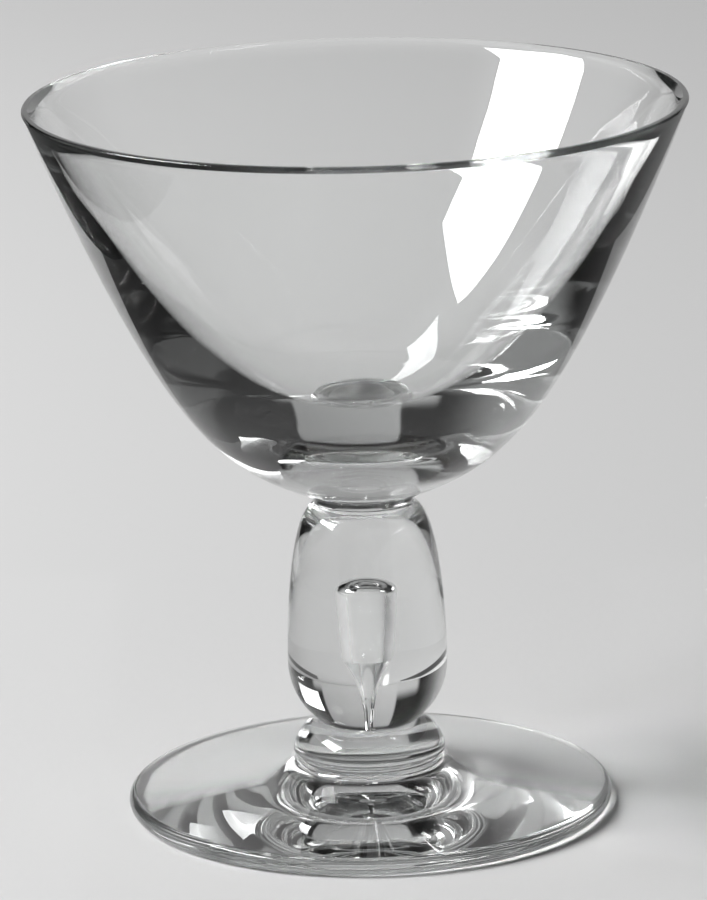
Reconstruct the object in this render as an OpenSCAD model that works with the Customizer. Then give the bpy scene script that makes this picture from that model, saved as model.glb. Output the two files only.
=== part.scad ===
// Short-stemmed cocktail glass in clear glass. A wide flared bowl with a heavy base stands on a stem
// with a drawn air tear, over a ring knop and a conical foot. Each piece is worked by itself and is
// welded hot to the next one on a flat round seam, so neighbours share the diameter of their seam.

/* [Bowl] */
// Outside diameter at the rim
rim_d = 92; // [76:1:110]
// Height of the bowl from its seam to the top of the rim
bowl_h = 56; // [44:0.5:75]
// Thickness of the glass at the rim
rim_wall = 1.5; // [1:0.1:3]
// Radius of the rounded edges of the flat rim
lip_round = 0.35; // [0.2:0.05:0.5]
// Thickness of the glass under the floor inside the bowl
base_t = 11.5; // [7:0.5:16]
// Diameter of the flat middle of the floor inside the bowl
floor_d = 17; // [8:0.5:24]
// Power of the curve that the inside follows from its floor to the rim
inside_power = 1.85; // [1.6:0.05:2.2]

/* [Stem] */
// Height of the stem between its two seams
stem_h = 33.1; // [28:0.1:60]
// Diameter of the stem at its belly
belly_d = 22.6; // [18:0.2:30]
// Height of the belly above the lower seam
belly_h = 8.8; // [6:0.1:14]
// Diameter where the neck begins under the bowl
neck_d = 14.2; // [11:0.1:17]
// Height of the neck between the shoulder of the stem and the bowl
neck_h = 1.6; // [0.8:0.1:3]
// Diameter of the seam between the stem and the bowl
bowl_seam_d = 15.4; // [13:0.1:19]
// Diameter of the seam between the stem and the knop
knop_seam_d = 13.9; // [11:0.1:17]

/* [Air tear] */
// Greatest diameter of the tear
tear_d = 5.6; // [3:0.1:7]
// Length of the tear from the lower seam to its crown
tear_l = 20.9; // [14:0.1:25]
// Height of the round crown over the widest place of the tear
crown_h = 2; // [1.2:0.1:4]
// Diameter of the tear at its throat, where it begins to close
throat_d = 4.5; // [2.5:0.1:5.5]
// Height of the throat over the lower seam
throat_h = 9.4; // [7:0.1:12]
// Diameter of the tail of the tear
tail_d = 0.7; // [0.4:0.1:1.2]
// Length of the tail over the lower seam
tail_l = 3; // [2:0.1:6]

/* [Knop] */
// Greatest diameter of the knop
knop_d = 21.5; // [18:0.1:28]
// Height of the knop between its two seams
knop_h = 4.7; // [3.5:0.1:9]
// Height of the round underside of the knop
knop_under_h = 0.2; // [0.2:0.1:1.5]
// Diameter of the seam between the knop and the foot
foot_seam_d = 20.2; // [16:0.1:25]

/* [Foot] */
// Diameter of the foot
foot_d = 68.6; // [56:0.2:84]
// Height of the foot at the seam with the knop
foot_h = 7.7; // [5:0.1:12]
// Diameter where the cone of the foot begins to flare up to the knop
flare_d = 31.6; // [24:0.2:38]
// Height of the cone where the flare begins
cone_h = 4.7; // [3:0.1:6]
// Thickness of the round edge of the foot
edge_t = 2.6; // [1.6:0.1:4]

/* [Hidden] */

// Straight pieces of each curve, and pieces of a full circle
curve_steps = 28;
arc_steps = 10;
$fn = 96;

// Colour of the clear glass, and how much of it shows
glass_colour = [0.86, 0.89, 0.90];
glass_alpha = 0.45;

// Radii of the seams
bowl_seam_r = bowl_seam_d / 2;
knop_seam_r = knop_seam_d / 2;
foot_seam_r = foot_seam_d / 2;

// Heights of the seams over the table
knop_z = foot_h;
stem_z = knop_z + knop_h;
bowl_z = stem_z + stem_h;

// Handles of the curves, as shares of the box between the two ends of each curve
bowl_shares = [[0.325, 0.095], [0.507, 0.149]];
stem_foot_shares = [[0.3, 0.13], [1, 0.4]];
stem_shoulder_shares = [[0, 0.127], [0.257, 0.971]];
neck_shares = [[-0.45, 0.1], [0.2, 0.67]];
tear_shares = [[0.1, 0.3], [0.6, 0.8]];
funnel_shares = [[0.34, 0.22], [0.9, 0.61]];
knop_shares = [[0.6, 0.1], [1, 0.63]];
cone_shares = [[0.33, 0.32], [0.67, 0.65]];
flare_shares = [[0.89, 0.22], [1, 0.59]];

// Point of a cubic curve with control points p, at t from 0 to 1
function bezier(p, t) =
    pow(1 - t, 3) * p[0] + 3 * pow(1 - t, 2) * t * p[1] + 3 * (1 - t) * t * t * p[2] + pow(t, 3) * p[3];

// Point in the box from corner a to corner b, at a share of its two sides
function place(a, b, share) = [a.x + (b.x - a.x) * share.x, a.y + (b.y - a.y) * share.y];

// Curve from a to b with its two handles at shares of the box between them
function curve(a, b, shares) =
    let (p = [a, place(a, b, shares[0]), place(a, b, shares[1]), b])
    [for (i = [0:curve_steps]) bezier(p, i / curve_steps)];

// Arc round a centre with two half axes, from one angle to another
function arc(centre, half_w, half_h, from, to) =
    [for (i = [0:arc_steps])
        let (angle = from + (to - from) * i / arc_steps)
        centre + [half_w * cos(angle), half_h * sin(angle)]];

// Solid of revolution in clear glass, from an outline of radius and height
module spun(outline, z) {
    color(glass_colour, glass_alpha)
        translate([0, 0, z])
            rotate_extrude()
                polygon(outline);
}

// Disc with a flat underside, a round edge and a slightly hollow cone on top that flares up to the knop
module foot() {
    edge_r = edge_t / 2;
    edge_centre = [foot_d / 2 - edge_r, edge_r];
    flare_start = [flare_d / 2, cone_h];
    cone_angle = atan((cone_h - edge_t) / (edge_centre.x - flare_start.x));
    edge = arc(edge_centre, edge_r, edge_r, -90, 90 - cone_angle);
    flare = curve(flare_start, [foot_seam_r, foot_h], flare_shares);
    cone = curve(edge[arc_steps], flare_start, cone_shares);
    spun(concat([[0, 0]], edge, cone, flare, [[0, foot_h]]), 0);
}

// Domed ring with a tucked-in underside, which closes the tail of the tear above it
module knop() {
    widest = [knop_d / 2, knop_under_h];
    under = arc([foot_seam_r, knop_under_h], widest.x - foot_seam_r, knop_under_h, -90, 0);
    dome = curve([knop_seam_r, knop_h], widest, knop_shares);
    dome_up = [for (i = [curve_steps:-1:0]) dome[i]];
    spun(concat([[0, 0]], under, dome_up, [[0, knop_h]]), knop_z);
}

// Round-bellied stem with a narrow neck and the air tear, whose tail opens on the lower seam
module stem() {
    belly = [belly_d / 2, belly_h];
    neck = [neck_d / 2, stem_h - neck_h];
    top = [bowl_seam_r, stem_h];
    outside = concat(
        curve([knop_seam_r, 0], belly, stem_foot_shares),
        curve(belly, neck, stem_shoulder_shares),
        curve(neck, top, neck_shares)
    );
    tear_r = tear_d / 2;
    tail_r = tail_d / 2;
    tear_belly = [tear_r, tear_l - crown_h];
    throat = [throat_d / 2, throat_h];
    tear = concat(
        arc([0, tear_belly.y], tear_r, crown_h, 90, 0),
        curve(tear_belly, throat, tear_shares),
        curve(throat, [tail_r, tail_l], funnel_shares),
        [[tail_r, 0]]
    );
    spun(concat(outside, [[0, stem_h]], tear), stem_z);
}

// Flared bowl with a heavy base, a curved inside over a flat floor and a flat rim with rounded edges
module bowl() {
    rim_r = rim_d / 2;
    floor_r = floor_d / 2;
    lip_z = bowl_h - lip_round;
    // Leans of the two faces of the wall where they run into the edges of the rim
    last_share = bowl_shares[1];
    outer_lean = atan((1 - last_share.x) * (rim_r - bowl_seam_r) / ((1 - last_share.y) * lip_z));
    inner_lean = atan((rim_r - rim_wall - floor_r) / ((lip_z - base_t) * inside_power));
    outer_edge = arc([rim_r - lip_round, lip_z], lip_round, lip_round, -outer_lean, 90);
    inner_edge = arc([rim_r - rim_wall + lip_round, lip_z], lip_round, lip_round, 90, 180 - inner_lean);
    mouth = inner_edge[arc_steps];
    outside = curve([bowl_seam_r, 0], outer_edge[0], bowl_shares);
    inside = [for (i = [curve_steps:-1:0])
        let (share = i / curve_steps)
        [floor_r + (mouth.x - floor_r) * share, base_t + (mouth.y - base_t) * pow(share, inside_power)]];
    spun(concat([[0, 0]], outside, outer_edge, inner_edge, inside, [[0, base_t]]), bowl_z);
}

foot();
knop();
stem();
bowl();
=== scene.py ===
"""Short-stemmed cocktail glass in clear glass, on a pale table in front of a plain grey backdrop."""

import math

import bmesh
import bpy
from mathutils import Matrix, Vector


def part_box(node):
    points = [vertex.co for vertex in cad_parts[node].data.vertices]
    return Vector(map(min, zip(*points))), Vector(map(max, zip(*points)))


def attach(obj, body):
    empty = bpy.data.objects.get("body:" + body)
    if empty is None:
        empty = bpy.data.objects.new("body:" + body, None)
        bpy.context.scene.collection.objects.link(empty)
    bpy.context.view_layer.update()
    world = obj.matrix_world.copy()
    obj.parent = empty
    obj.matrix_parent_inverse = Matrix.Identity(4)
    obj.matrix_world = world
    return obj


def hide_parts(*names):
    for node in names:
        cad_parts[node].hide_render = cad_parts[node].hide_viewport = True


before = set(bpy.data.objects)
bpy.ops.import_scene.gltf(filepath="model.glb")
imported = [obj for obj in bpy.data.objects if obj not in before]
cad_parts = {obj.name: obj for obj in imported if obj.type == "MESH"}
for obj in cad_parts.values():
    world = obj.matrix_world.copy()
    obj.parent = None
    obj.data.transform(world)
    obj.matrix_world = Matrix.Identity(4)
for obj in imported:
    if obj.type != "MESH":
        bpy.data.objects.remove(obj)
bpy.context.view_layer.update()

MM = 0.001

# Sizes that the frame gives
foot_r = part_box("foot")[1].x
foot_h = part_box("foot")[1].z
knop_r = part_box("knop")[1].x
knop_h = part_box("knop")[1].z - foot_h
stem_z = foot_h + knop_h
belly_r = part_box("stem")[1].x
stem_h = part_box("stem")[1].z - stem_z
bowl_z = stem_z + stem_h
rim_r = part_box("bowl")[1].x
bowl_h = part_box("bowl")[1].z - bowl_z

# Driving dimensions that no box shows
rim_wall = 1.5 * MM
lip_round = 0.35 * MM
base_t = 11.5 * MM
floor_r = 8.5 * MM
inside_power = 1.85
belly_h = 8.8 * MM
neck_r = 7.1 * MM
neck_h = 1.6 * MM
bowl_seam_r = 7.7 * MM
knop_seam_r = 6.95 * MM
tear_r = 2.8 * MM
tear_l = 20.9 * MM
crown_h = 2.0 * MM
throat_r = 2.25 * MM
throat_h = 9.4 * MM
tail_r = 0.35 * MM
tail_l = 3.0 * MM
knop_under_h = 0.2 * MM
foot_seam_r = 10.1 * MM
flare_r = 15.8 * MM
cone_h = 4.7 * MM
edge_t = 2.6 * MM

# Bevel inside the rim: how far it reaches down the wall and how far over the flat of the rim
bevel_drop = 0.66 * MM
bevel_w = 0.65 * MM

# Handles of the curves, as shares of the box between the two ends of each curve
bowl_shares = ((0.325, 0.095), (0.507, 0.149))
bevel_shares = ((0.35, 0.3), (0.8, 0.7))
stem_foot_shares = ((0.3, 0.13), (1, 0.4))
stem_shoulder_shares = ((0, 0.3), (0.2, 0.95))
neck_shares = ((-0.45, 0.1), (0.2, 0.67))
tear_shares = ((0.1, 0.3), (0.6, 0.8))
funnel_shares = ((0.34, 0.22), (0.9, 0.61))
knop_shares = ((0.6, 0.1), (1, 0.63))
cone_shares = ((0.33, 0.32), (0.67, 0.65))
flare_shares = ((0.89, 0.22), (1, 0.59))

# How finely the outlines are cut and spun
CURVE_STEPS = 64
ARC_STEPS = 24
SPIN_STEPS = 256
SHARP_TURN = math.radians(16)

# Clear glass: its colour, how it bends light, what it takes up from light on the way, and its faint ripples
GLASS_COLOUR = (0.985, 0.99, 0.988, 1)
GLASS_IOR = 1.55
GLASS_KEEPS = (0.0, 0.03, 0.02, 1)
GLASS_TINT = 7.0
RIPPLE_SCALE = 90.0
RIPPLE_DETAIL = 1.0
RIPPLE_STRENGTH = 1.0
RIPPLE_H = 0.03 * MM

# Kinds of the runs of an outline: glass that shows, and the weld to the next piece, which is clear
GLASS, SEAM = 0, 1
SEAM_HAIR = 0.0025 * MM


def place(a, b, share):
    """Point in the box from corner a to corner b, at a share of its two sides."""
    return Vector((a.x + (b.x - a.x) * share[0], a.y + (b.y - a.y) * share[1]))


def curve(a, b, shares):
    """Cubic curve from a to b with its two handles at shares of the box between them."""
    p, q = place(a, b, shares[0]), place(a, b, shares[1])
    points = []
    for i in range(CURVE_STEPS + 1):
        t = i / CURVE_STEPS
        s = 1 - t
        points.append(s ** 3 * a + 3 * s * s * t * p + 3 * s * t * t * q + t ** 3 * b)
    return points


def arc(centre, half_w, half_h, start, end):
    """Arc round a centre with two half axes, from one angle in degrees to another."""
    points = []
    for i in range(ARC_STEPS + 1):
        angle = math.radians(start + (end - start) * i / ARC_STEPS)
        points.append(centre + Vector((half_w * math.cos(angle), half_h * math.sin(angle))))
    return points


def at(r, z):
    """Point of an outline, from its radius and height."""
    return Vector((r, z))


def foot_runs():
    """Flat underside, round edge, hollow cone on top, the flare to the knop and the seam with it."""
    edge_r = edge_t / 2
    centre = at(foot_r - edge_r, edge_r)
    cone_angle = math.degrees(math.atan((cone_h - edge_t) / (centre.x - flare_r)))
    edge = arc(centre, edge_r, edge_r, -90, 90 - cone_angle)
    flare = curve(at(flare_r, cone_h), at(foot_seam_r, foot_h - SEAM_HAIR), flare_shares)
    return [
        (GLASS, [at(0, 0), edge[0]]),
        (GLASS, edge),
        (GLASS, curve(edge[-1], flare[0], cone_shares)),
        (GLASS, flare),
        (SEAM, [flare[-1], at(0, foot_h - SEAM_HAIR)]),
    ]


def knop_runs():
    """Seam with the foot, tucked-in underside, dome and the seam with the stem."""
    widest = at(knop_r, knop_under_h)
    low, high = SEAM_HAIR, knop_h - SEAM_HAIR
    under = arc(at(foot_seam_r, knop_under_h), knop_r - foot_seam_r, knop_under_h - low, -90, 0)
    dome = curve(at(knop_seam_r, high), widest, knop_shares)[::-1]
    return [
        (SEAM, [at(0, low), under[0]]),
        (GLASS, under),
        (GLASS, dome),
        (SEAM, [dome[-1], at(tail_r, high)]),
        (GLASS, [at(tail_r, high), at(0, high)]),
    ]


def stem_runs():
    """Outside of the stem, the seam with the bowl, and the seam with the knop round the tail of the tear."""
    low, high = SEAM_HAIR, stem_h - SEAM_HAIR
    belly = at(belly_r, belly_h)
    neck = at(neck_r, stem_h - neck_h)
    top = at(bowl_seam_r, high)
    tear_belly = at(tear_r, tear_l - crown_h)
    throat = at(throat_r, throat_h)
    return [
        (GLASS, curve(at(knop_seam_r, low), belly, stem_foot_shares)),
        (GLASS, curve(belly, neck, stem_shoulder_shares)),
        (GLASS, curve(neck, top, neck_shares)),
        (SEAM, [top, at(0, high)]),
        (GLASS, arc(at(0, tear_belly.y), tear_r, crown_h, 90, 0)),
        (GLASS, curve(tear_belly, throat, tear_shares)),
        (GLASS, curve(throat, at(tail_r, tail_l), funnel_shares)),
        (GLASS, [at(tail_r, tail_l), at(tail_r, low)]),
        (SEAM, [at(tail_r, low), at(knop_seam_r, low)]),
    ]


def bowl_runs():
    """Seam with the stem, flared outside, flat rim with a bevel inside it, curved inside and flat floor."""
    lip_z = bowl_h - lip_round
    last_share = bowl_shares[1]
    outer_lean = math.degrees(math.atan2((1 - last_share[0]) * (rim_r - bowl_seam_r),
                                         (1 - last_share[1]) * lip_z))
    inner_lean = math.degrees(math.atan2(rim_r - rim_wall - floor_r, (lip_z - base_t) * inside_power))
    outer_edge = arc(at(rim_r - lip_round, lip_z), lip_round, lip_round, -outer_lean, 90)
    mouth = arc(at(rim_r - rim_wall + lip_round, lip_z), lip_round, lip_round, 90, 180 - inner_lean)[-1]
    top_share = (1 - bevel_drop / (mouth.y - base_t)) ** (1 / inside_power)
    inside = []
    for i in range(CURVE_STEPS, -1, -1):
        share = top_share * i / CURVE_STEPS
        inside.append(at(floor_r + (mouth.x - floor_r) * share,
                         base_t + (mouth.y - base_t) * share ** inside_power))
    bevel = curve(at(rim_r - rim_wall + bevel_w, bowl_h), inside[0], bevel_shares)
    return [
        (SEAM, [at(0, SEAM_HAIR), at(bowl_seam_r, SEAM_HAIR)]),
        (GLASS, curve(at(bowl_seam_r, SEAM_HAIR), outer_edge[0], bowl_shares)),
        (GLASS, outer_edge),
        (GLASS, [outer_edge[-1], bevel[0]]),
        (GLASS, bevel),
        (GLASS, inside),
        (GLASS, [at(floor_r, base_t), at(0, base_t)]),
    ]


def spin(node, runs, z):
    """Piece of glass for a CAD node, spun round the axis from the runs of its outline."""
    mesh = bmesh.new()
    fused = mesh.faces.layers.float.new("fused")
    rings = {}

    def ring(point):
        key = (round(point.x, 9), round(point.y, 9))
        if key not in rings:
            steps = SPIN_STEPS if key[0] > 0 else 1
            turns = [math.tau * k / SPIN_STEPS for k in range(steps)]
            r, over = key
            rings[key] = [mesh.verts.new((r * math.cos(a), r * math.sin(a), z + over)) for a in turns]
        return rings[key]

    ends = {}
    for finish, points in runs:
        for a, b in zip(points, points[1:]):
            low, high = ring(a), ring(b)
            ends.setdefault(id(low), []).append((b - a).normalized())
            ends.setdefault(id(high), []).append((b - a).normalized())
            for k in range(SPIN_STEPS):
                n = (k + 1) % SPIN_STEPS
                corners = [low[k % len(low)], low[n % len(low)], high[n % len(high)], high[k % len(high)]]
                face = mesh.faces.new(list(dict.fromkeys(corners)))
                face.smooth = True
                face[fused] = finish
    for verts in rings.values():
        ways = ends[id(verts)]
        if len(verts) > 1 and len(ways) == 2 and ways[0].angle(ways[1]) > SHARP_TURN:
            for k in range(SPIN_STEPS):
                mesh.edges.get((verts[k], verts[(k + 1) % SPIN_STEPS])).smooth = False
    data = bpy.data.meshes.new(node + "_glass")
    mesh.to_mesh(data)
    mesh.free()
    data.materials.append(clear_glass)
    piece = bpy.data.objects.new(node + "_glass", data)
    bpy.context.scene.collection.objects.link(piece)
    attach(piece, "root")
    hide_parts(node)


def add_node(tree, kind, **settings):
    """New shader node with its settings."""
    made = tree.nodes.new(kind)
    for name, value in settings.items():
        setattr(made, name, value)
    return made


def principled(name, **values):
    """New material and its main shader, with values set on the shader's own sockets."""
    material = bpy.data.materials.new(name)
    material.use_nodes = True
    shader = material.node_tree.nodes["Principled BSDF"]
    for socket, value in values.items():
        shader.inputs[socket.replace("_", " ")].default_value = value
    return material, shader


def ramp(tree, value, start, end, low, high, kind="LINEAR"):
    """Value that goes from low to high while another goes from start to end."""
    made = add_node(tree, "ShaderNodeMapRange", interpolation_type=kind)
    tree.links.new(value, made.inputs["Value"])
    for socket, number in (("From Min", start), ("From Max", end), ("To Min", low), ("To Max", high)):
        made.inputs[socket].default_value = number
    return made.outputs["Result"]


def roughen(tree, shader, scale, detail, strength, height):
    """Fine unevenness of a surface, from noise."""
    noise = add_node(tree, "ShaderNodeTexNoise")
    noise.inputs["Scale"].default_value = scale
    noise.inputs["Detail"].default_value = detail
    bump = add_node(tree, "ShaderNodeBump")
    bump.inputs["Strength"].default_value = strength
    bump.inputs["Distance"].default_value = height
    tree.links.new(add_node(tree, "ShaderNodeTexCoord").outputs["Object"], noise.inputs["Vector"])
    tree.links.new(noise.outputs["Fac"], bump.inputs["Height"])
    tree.links.new(bump.outputs["Normal"], shader.inputs["Normal"])


def make_clear_glass():
    """Hand-worked clear glass: smooth, with faint ripples from the working of it."""
    material, shader = principled("clear_glass", Base_Color=GLASS_COLOUR, Roughness=0.0, IOR=GLASS_IOR,
                                  Transmission_Weight=1.0)
    tree = material.node_tree
    roughen(tree, shader, RIPPLE_SCALE, RIPPLE_DETAIL, RIPPLE_STRENGTH, RIPPLE_H)
    weld = add_node(tree, "ShaderNodeAttribute", attribute_name="fused")
    shows = add_node(tree, "ShaderNodeMath", operation="SUBTRACT")
    shows.inputs[0].default_value = 1.0
    tree.links.new(weld.outputs["Fac"], shows.inputs[1])
    tree.links.new(shows.outputs[0], shader.inputs["Alpha"])
    tint = add_node(tree, "ShaderNodeVolumeAbsorption")
    tint.inputs["Color"].default_value = GLASS_KEEPS
    tint.inputs["Density"].default_value = GLASS_TINT
    tree.links.new(tint.outputs["Volume"], tree.nodes["Material Output"].inputs["Volume"])
    return material


def make_table():
    """Pale matt paper with a faint grain, painted paler away from the glass: painted light that makes up for
    the softbox's light falling off across the table.
    """
    material, shader = principled("table_paper", Roughness=PAPER_ROUGHNESS)
    tree = material.node_tree
    far = add_node(tree, "ShaderNodeVectorMath", operation="LENGTH")
    tree.links.new(add_node(tree, "ShaderNodeTexCoord").outputs["Object"], far.inputs[0])
    tone = ramp(tree, far.outputs["Value"], *TABLE_REACH, TABLE_TONE, TABLE_FAR_TONE)
    tree.links.new(tone, shader.inputs["Base Color"])
    roughen(tree, shader, GRAIN_SCALE, GRAIN_DETAIL, GRAIN_STRENGTH, GRAIN_H)
    return material


def make_painted_sheen(name, dark):
    """Painted reflection for the sheen of the walls: the paper's tone near the glass, darkening to a dark
    tone to the left and the right.
    """
    material, shader = principled(name, Roughness=PAPER_ROUGHNESS)
    tree = material.node_tree
    way = add_node(tree, "ShaderNodeSeparateXYZ")
    tree.links.new(add_node(tree, "ShaderNodeTexCoord").outputs["Object"], way.inputs[0])
    beside = add_node(tree, "ShaderNodeMath", operation="ABSOLUTE")
    tree.links.new(way.outputs["X"], beside.inputs[0])
    tone = ramp(tree, beside.outputs[0], SHEEN_NEAR, SHEEN_DARK, TABLE_TONE, dark)
    tree.links.new(tone, shader.inputs["Base Color"])
    return material


def make_painted_reflector_glow():
    """Painted glow that stands in for a white reflector card lit by the softbox: it emits light, dimmer at
    its lower edge.
    """
    material, shader = principled("reflector_painted_glow", Emission_Color=(1, 1, 1, 1))
    tree = material.node_tree
    way = add_node(tree, "ShaderNodeSeparateXYZ")
    tree.links.new(add_node(tree, "ShaderNodeTexCoord").outputs["Object"], way.inputs[0])
    glow = ramp(tree, way.outputs["Z"], *REFLECTOR_FADE, *REFLECTOR_GLOW)
    tree.links.new(glow, shader.inputs["Emission Strength"])
    return material


def stage_sheet(name, paint, corners):
    """Flat sheet with these corners, as part of the stage."""
    mesh = bpy.data.meshes.new(name)
    mesh.from_pydata(corners, [], [tuple(range(len(corners)))])
    mesh.materials.append(paint)
    made = bpy.data.objects.new(name, mesh)
    bpy.context.scene.collection.objects.link(made)
    return made


def stage_card(name, paint, corners):
    """Flat card with these corners, which shows only in the glass."""
    made = stage_sheet(name, paint, corners)
    made.visible_camera = False
    made.visible_diffuse = False
    made.visible_shadow = False
    return made


clear_glass = make_clear_glass()
spin("foot", foot_runs(), 0)
spin("knop", knop_runs(), foot_h)
spin("stem", stem_runs(), stem_z)
spin("bowl", bowl_runs(), bowl_z)

# Pale table, a hair under the foot, which rests on it with air between
TABLE_STEPS = 96
TABLE_R = 1.0
TABLE_GAP = 0.1 * MM
TABLE_TONE = 0.62
# Painted light: the paper's colour grows from the near tone to this far tone between the two reaches, making
# up for the light that falls off away from the softbox
TABLE_FAR_TONE = 0.95
TABLE_REACH = (0.05, 1.2)
PAPER_ROUGHNESS = 0.85
GRAIN_SCALE = 900.0
GRAIN_DETAIL = 2.0
GRAIN_STRENGTH = 0.2
GRAIN_H = 0.02 * MM
table_turns = [math.tau * k / TABLE_STEPS for k in range(TABLE_STEPS)]
stage_sheet("table", make_table(),
            [(TABLE_R * math.cos(a), TABLE_R * math.sin(a), -TABLE_GAP) for a in table_turns])

# Painted shade seen only in the glass: dark table beside the paper, which shows through the glass while the
# camera sees the pale table there, and dark ground and a raised dark card on each side, which show in the
# sheen of the walls. Each side has its name, the way it lies, the place where the paper ends beside the
# glass, the turn in degrees of the paper's edge behind it, and its dark tone
STAGE_SIDES = (
    {"name": "left", "hand": -1, "paper_x": -0.105, "paper_turn": -17, "tone": 0.06},
    {"name": "right", "hand": 1, "paper_x": 0.115, "paper_turn": 29, "tone": 0.15},
)
DARK_Z = MM
DARK_ENDS = (-0.08, 0.42)
DARK_OUTER = (0.15, 0.26)
SHEEN_NEAR = 0.04
SHEEN_DARK = 0.1
SHEEN_FAR = 1.5
SHEEN_BACK = 0.12
CARD_X = 0.108
CARD_ENDS = (-0.5, 0.4)
CARD_Z = (0.02, 0.09)
for side in STAGE_SIDES:
    name, hand, paper_x, tone = side["name"], side["hand"], side["paper_x"], side["tone"]
    spread = math.tan(math.radians(side["paper_turn"]))
    # Painted shade: dark paint for sheets that show only in the glass
    paint = principled(name + "_paint", Base_Color=(tone, tone, tone, 1))[0]
    table = stage_card(name + "_table", paint, [
        (paper_x, DARK_ENDS[0], DARK_Z), (hand * DARK_OUTER[0], DARK_ENDS[0], DARK_Z),
        (hand * DARK_OUTER[1], DARK_ENDS[1], DARK_Z), (spread * DARK_ENDS[1], DARK_ENDS[1], DARK_Z),
        (paper_x, paper_x / spread, DARK_Z)])
    table.visible_glossy = False
    near_x, far_x = hand * SHEEN_NEAR, hand * SHEEN_FAR
    ground = stage_card(name + "_ground", make_painted_sheen(name + "_painted_sheen", tone), [
        (near_x, -SHEEN_FAR, DARK_Z), (far_x, -SHEEN_FAR, DARK_Z),
        (far_x, SHEEN_BACK, DARK_Z), (near_x, SHEEN_BACK, DARK_Z)])
    ground.visible_transmission = False
    card_x = hand * CARD_X
    card = stage_card(name + "_card", paint, [
        (card_x, CARD_ENDS[0], CARD_Z[0]), (card_x, CARD_ENDS[1], CARD_Z[0]),
        (card_x, CARD_ENDS[1], CARD_Z[1]), (card_x, CARD_ENDS[0], CARD_Z[1])])
    card.visible_transmission = False

# Small glowing card to the right behind the glass: a painted glow in place of a white reflector lit by the
# softbox, as it shows in the left corner of the stem. It lies across the way to it, between two sides and
# two heights, and its glow grows from one height to another
REFLECTOR_TURN = math.radians(50)
REFLECTOR_FAR = 0.11
REFLECTOR_SIDES = (-0.043, 0.002)
REFLECTOR_Z = (0.03, 0.063)
REFLECTOR_FADE = (0.038, 0.05)
REFLECTOR_GLOW = (0.45, 1.7)
reflector_way = Vector((math.sin(REFLECTOR_TURN), math.cos(REFLECTOR_TURN), 0)) * REFLECTOR_FAR
reflector_side = Vector((math.cos(REFLECTOR_TURN), -math.sin(REFLECTOR_TURN), 0))
reflector = stage_card("reflector", make_painted_reflector_glow(), [
    reflector_way + reflector_side * u + Vector((0, 0, z))
    for u, z in ((REFLECTOR_SIDES[0], REFLECTOR_Z[0]), (REFLECTOR_SIDES[1], REFLECTOR_Z[0]),
                 (REFLECTOR_SIDES[1], REFLECTOR_Z[1]), (REFLECTOR_SIDES[0], REFLECTOR_Z[1]))])
reflector.visible_glossy = False

# Softbox at the left, as it shows in the bowl
SOFTBOX_TURN = math.radians(-98)
SOFTBOX_RISE = math.radians(38.7)
SOFTBOX_FAR = 1.2
SOFTBOX_OVER = 0.085
SOFTBOX_W = 0.735
SOFTBOX_H = 0.525
SOFTBOX_BACK = 0.018
SOFTBOX_DOWN = 0.04
SOFTBOX_POWER = 24.0
softbox_way = Vector((math.sin(SOFTBOX_TURN) * math.cos(SOFTBOX_RISE),
                      math.cos(SOFTBOX_TURN) * math.cos(SOFTBOX_RISE), math.sin(SOFTBOX_RISE)))
softbox_light = bpy.data.lights.new("softbox", "AREA")
softbox_light.shape = "RECTANGLE"
softbox_light.size = SOFTBOX_W
softbox_light.size_y = SOFTBOX_H
softbox_light.energy = SOFTBOX_POWER
softbox = bpy.data.objects.new("softbox", softbox_light)
softbox_aim = (-softbox_way).to_track_quat("-Z", "Y")
softbox.location = (softbox_way * SOFTBOX_FAR + Vector((0, 0, SOFTBOX_OVER))
                    + softbox_aim @ Vector((-SOFTBOX_BACK, -SOFTBOX_DOWN, 0)))
softbox.rotation_euler = softbox_aim.to_euler()
softbox.visible_camera = False
bpy.context.scene.collection.objects.link(softbox)

# Grey studio round the glass. Each patch has the turns to the right of straight ahead and the rises over
# the table, in degrees, where it begins, is full, begins to fade and ends, its levels at the table from left
# to right, and the share of them that is left where it begins to fade at the top
STUDIO_DARK = 0.008
STUDIO_PATCHES = (
    {"turn": (-17, -15, 27, 29), "rise": (-102, -101, 34, 42), "levels": (0.64, 0.46), "top_share": 0.76},
    {"turn": (-33, -29, -17, -15), "rise": (-102, -101, 2, 12), "levels": (0.58, 0.58), "top_share": 1},
    {"turn": (27, 29, 33, 37), "rise": (-102, -101, 0, 7), "levels": (0.44, 0.44), "top_share": 1},
    {"turn": (-134, -116, -70, -32), "rise": (-102, -101, 35, 55), "levels": (0.5, 0.5), "top_share": 1},
    {"turn": (64, 80, 107, 123), "rise": (-102, -101, 14, 26), "levels": (0.12, 0.12), "top_share": 1},
    {"turn": (-102, -78, 48, 72), "rise": (42, 54, 64, 74), "levels": (0.33, 0.33), "top_share": 1},
)


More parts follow.
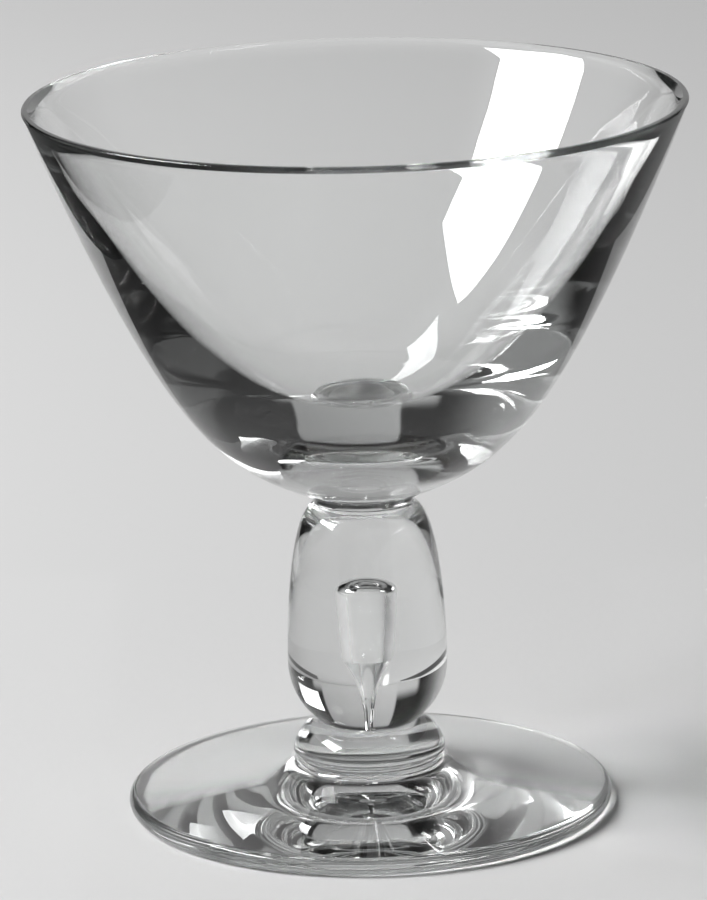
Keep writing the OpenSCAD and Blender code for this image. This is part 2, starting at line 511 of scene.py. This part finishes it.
def make_studio():
    """World of soft grey patches on a dark room."""
    world = bpy.data.worlds.new("studio")
    bpy.context.scene.world = world
    world.use_nodes = True
    tree = world.node_tree
    background = tree.nodes["Background"]

    def maths(operation, *values):
        made = add_node(tree, "ShaderNodeMath", operation=operation)
        for socket, value in zip(made.inputs, values):
            if isinstance(value, (int, float)):
                socket.default_value = value
            else:
                tree.links.new(value, socket)
        return made.outputs[0]

    way = add_node(tree, "ShaderNodeSeparateXYZ")
    tree.links.new(add_node(tree, "ShaderNodeTexCoord").outputs["Generated"], way.inputs[0])
    turn = maths("DEGREES", maths("ARCTAN2", way.outputs["X"], way.outputs["Y"]))
    rise = maths("DEGREES", maths("ARCSINE", way.outputs["Z"]))
    total = None
    for patch in STUDIO_PATCHES:
        share = ramp(tree, turn, patch["turn"][1], patch["turn"][2], *patch["levels"])
        if patch["top_share"] != 1:
            share = maths("MULTIPLY", ramp(tree, rise, 0, patch["rise"][2], 1, patch["top_share"]), share)
        for value, (begin, full, fade, end) in ((turn, patch["turn"]), (rise, patch["rise"])):
            share = maths("MULTIPLY", ramp(tree, value, begin, full, 0, 1, "SMOOTHSTEP"), share)
            share = maths("MULTIPLY", ramp(tree, value, fade, end, 1, 0, "SMOOTHSTEP"), share)
        total = maths("ADD", share, STUDIO_DARK if total is None else total)
    tree.links.new(total, background.inputs["Color"])


make_studio()

# Camera of the photograph, in its frame of 707 by 900 pixels
FRAME_W, FRAME_H = 707, 900
FOCAL = 5669.87
CENTRE_X = 362.845
SENSOR = 36.0
CAMERA_AT = Vector((0, -0.7679, 0.25395))
CAMERA_PITCH = 0.25787
CAMERA_ROLL = -0.022789
CAMERA_CLIP = (0.01, 100)
camera_data = bpy.data.cameras.new("camera")
camera_data.sensor_fit = "AUTO"
camera_data.sensor_width = SENSOR
camera_data.lens = FOCAL * SENSOR / FRAME_H
camera_data.shift_x = -(CENTRE_X - FRAME_W / 2) / FRAME_H
camera_data.clip_start, camera_data.clip_end = CAMERA_CLIP
camera = bpy.data.objects.new("camera", camera_data)
ahead = Vector((0, math.cos(CAMERA_PITCH), -math.sin(CAMERA_PITCH)))
right = Vector((1, 0, 0))
up = Vector((0, math.sin(CAMERA_PITCH), math.cos(CAMERA_PITCH)))
rolled_right = math.cos(CAMERA_ROLL) * right + math.sin(CAMERA_ROLL) * up
rolled_up = -math.sin(CAMERA_ROLL) * right + math.cos(CAMERA_ROLL) * up
camera_axes = Matrix((rolled_right, rolled_up, -ahead)).transposed().to_4x4()
camera.matrix_world = Matrix.Translation(CAMERA_AT) @ camera_axes
bpy.context.scene.collection.objects.link(camera)
bpy.context.scene.camera = camera

# Light passes many faces of glass before it reaches the camera
GLASS_BOUNCES = 48
cycles = bpy.context.scene.cycles
cycles.max_bounces = GLASS_BOUNCES
cycles.transmission_bounces = GLASS_BOUNCES
cycles.glossy_bounces = GLASS_BOUNCES
cycles.transparent_max_bounces = GLASS_BOUNCES
cycles.blur_glossy = 0.0
cycles.sample_clamp_indirect = 0.0
cycles.use_denoising = True
bpy.context.scene.view_settings.view_transform = "Standard"
